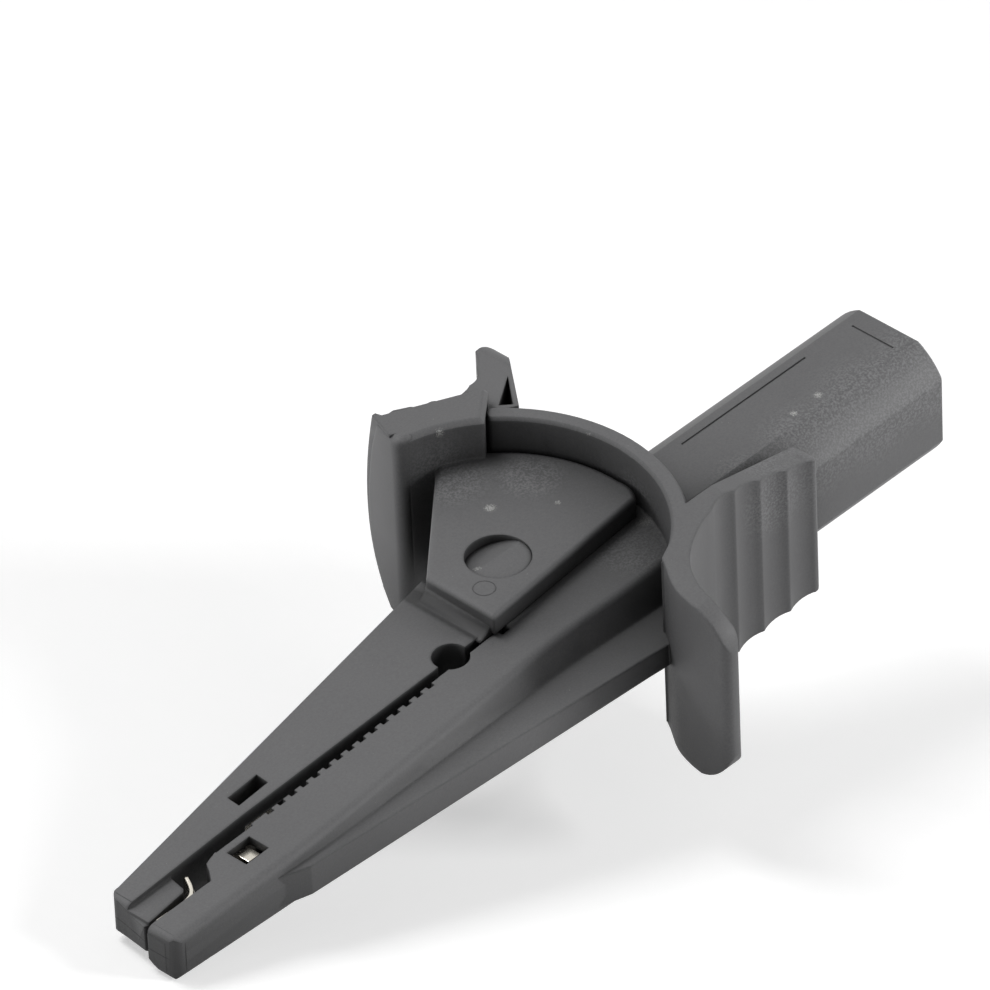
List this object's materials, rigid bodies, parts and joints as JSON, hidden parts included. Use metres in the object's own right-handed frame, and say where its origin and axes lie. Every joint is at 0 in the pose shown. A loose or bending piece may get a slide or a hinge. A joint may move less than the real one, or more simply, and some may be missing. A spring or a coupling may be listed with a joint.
{
  "type": "insulated test clip",
  "caption": "Insulated test clip in dark grey moulded plastic: long slim jaws with a wire hole, hinged lever with ribbed wings and finger guards, and a tube handle with a shrouded 4 mm socket.",
  "frame": {"origin": "centre of the mouth of the 4 mm socket contact, on the axis of the tube handle", "axes": "+X out of the socket along the tube (the jaws point to -X), +Y towards the lever, +Z along the hinge pin; the clip is mirrored about Z = 0"},
  "size_m": [0.0893, 0.04, 0.0184],
  "materials": {
    "plastic": "matt moulded, fine spark texture",
    "nickel": "satin nickel plate",
    "spring_wire": "drawn stainless wire"
  },
  "bodies": {
    "body": {"body_moulding": "plastic", "socket_contact": "nickel", "contact_strip": "nickel", "jaw_insert": "nickel", "tip_leaf": "nickel", "torsion_spring": "spring_wire"},
    "lever": {"lever_moulding": "plastic", "lever_insert": "nickel"}
  },
  "joints": [
    {"name": "jaw_hinge", "type": "hinge", "parent": "body", "child": "lever", "pos_m": [-0.0398, 0.004, 0], "axis": [0, 0, -1], "range_deg": [0, 28], "stiffness_Nm_per_rad": 0.15, "springref_deg": -28.65, "deforming": ["torsion_spring"]}
  ]
}
